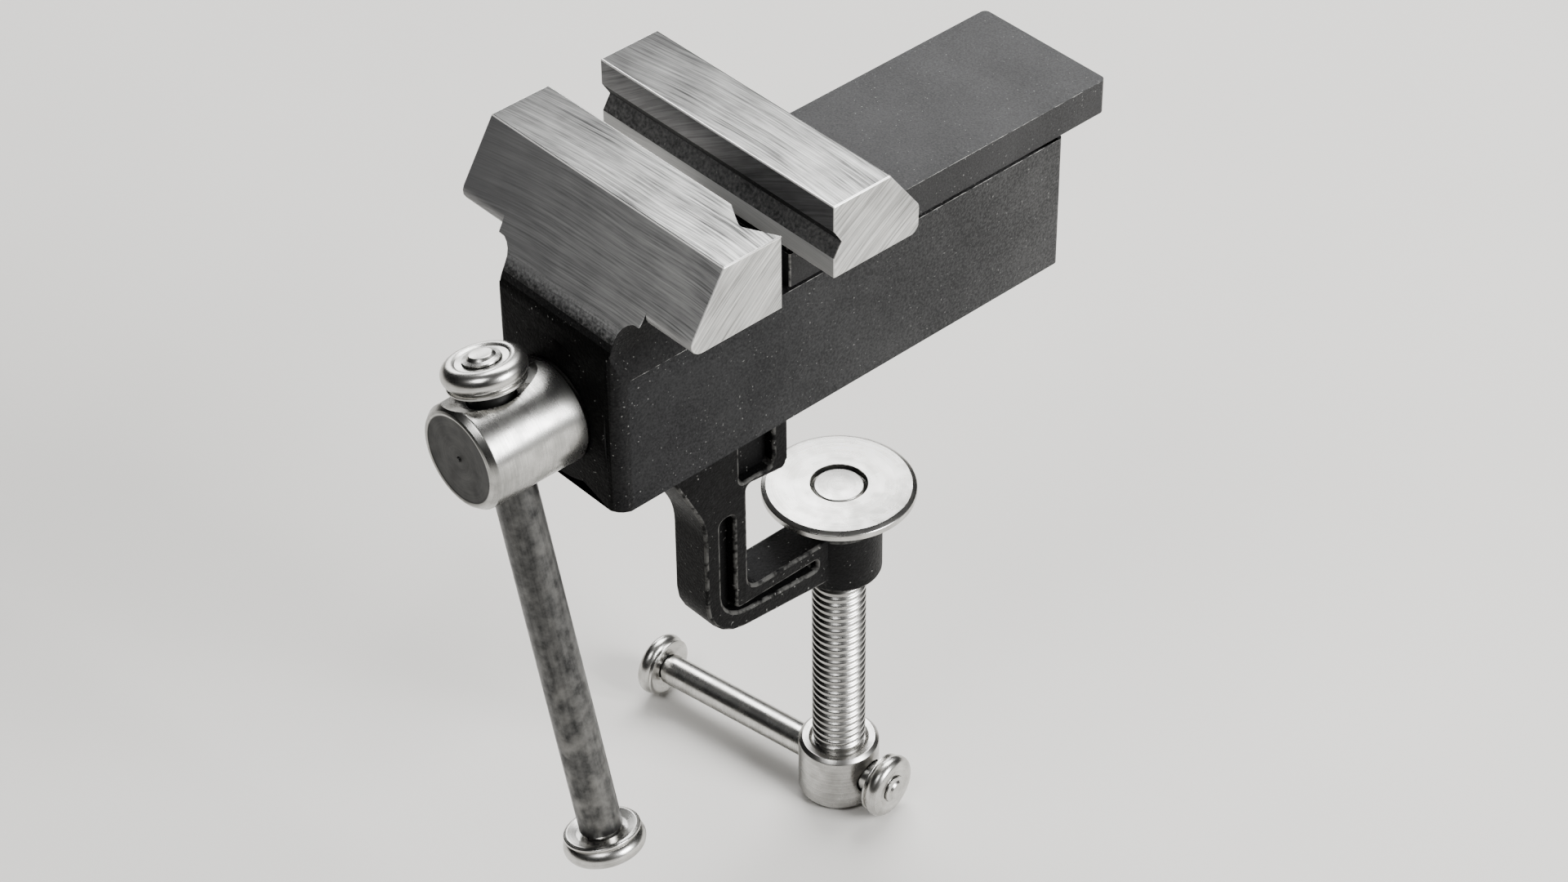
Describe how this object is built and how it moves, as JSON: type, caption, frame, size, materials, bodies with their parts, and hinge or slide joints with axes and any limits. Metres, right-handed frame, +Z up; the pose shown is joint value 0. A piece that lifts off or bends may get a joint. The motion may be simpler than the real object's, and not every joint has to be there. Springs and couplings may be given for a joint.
{
  "type": "bench vise",
  "caption": "Small clamp-on bench vise: fixed and sliding milled jaws, screw spindle with tommy bar, and a C-shaped clamp with screw, pad and cross bar for a table edge.",
  "frame": {"origin": "on the flat underside of the body, straight above the clamp screw's axis", "axes": "+Z up, away from the bench; -Y towards the spindle head, where the user stands; +Y along the way the moving jaw opens; +X to the user's right"},
  "size_m": [0.0593, 0.1051, 0.1315],
  "materials": {
    "black_casting": "satin black paint over sand-cast iron, with the jaw's top, ends and sloping flank milled bright",
    "moving_casting": "satin black paint on the slide plate, with the jaw's top, ends and grip face milled bright",
    "spindle_steel": "turned bright steel",
    "bar_steel": "dull drawn steel with handling scuffs",
    "plated_steel": "bright zinc-plated turned steel",
    "washer_steel": "plain steel, oiled",
    "nut_bronze": "turned bronze"
  },
  "bodies": {
    "frame": {"body": "black_casting", "front_thrust_washer": "washer_steel", "rear_thrust_washer": "washer_steel"},
    "spindle": {"spindle": "spindle_steel", "retaining_collar": "washer_steel", "collar_pin": "washer_steel"},
    "tommy_bar": {"tommy_bar": "bar_steel", "upper_knob": "plated_steel", "lower_knob": "plated_steel"},
    "moving_jaw": {"moving_jaw": "moving_casting", "spindle_nut": "nut_bronze", "nut_pin": "washer_steel"},
    "clamp_pad": {"pressure_pad": "plated_steel"},
    "clamp_screw": {"clamp_screw": "plated_steel"},
    "clamp_bar": {"clamp_bar": "plated_steel", "clamp_near_knob": "plated_steel", "clamp_far_knob": "plated_steel"}
  },
  "joints": [
    {"name": "spindle_turn", "type": "hinge", "parent": "frame", "child": "spindle", "pos_m": [0, -0.059, 0.0117], "axis": [0, -1, 0], "range_deg": [-2030, 7480]},
    {"name": "jaw_slide", "type": "slide", "parent": "frame", "child": "moving_jaw", "axis": [0, 1, 0], "range_m": [-0.0085, 0.0312]},
    {"name": "tommy_bar_slide", "type": "slide", "parent": "spindle", "child": "tommy_bar", "axis": [-0.2672, 0, 0.9636], "range_m": [0, 0.053]},
    {"name": "clamp_travel", "type": "slide", "parent": "frame", "child": "clamp_pad", "axis": [0, 0, 1], "range_m": [-0.0016, 0.0295]},
    {"name": "clamp_turn", "type": "hinge", "parent": "clamp_pad", "child": "clamp_screw", "pos_m": [0, 0, -0.085], "axis": [0, 0, 1], "range_deg": [-450, 8480]},
    {"name": "clamp_bar_slide", "type": "slide", "parent": "clamp_screw", "child": "clamp_bar", "axis": [0.986, 0.1668, 0], "range_m": [-0.0011, 0.0267]}
  ],
  "couplings": [
    {"joint": "jaw_slide", "follows": "spindle_turn", "m_per_rad": 0.00023873},
    {"joint": "clamp_travel", "follows": "clamp_turn", "m_per_rad": 0.00019894}
  ]
}
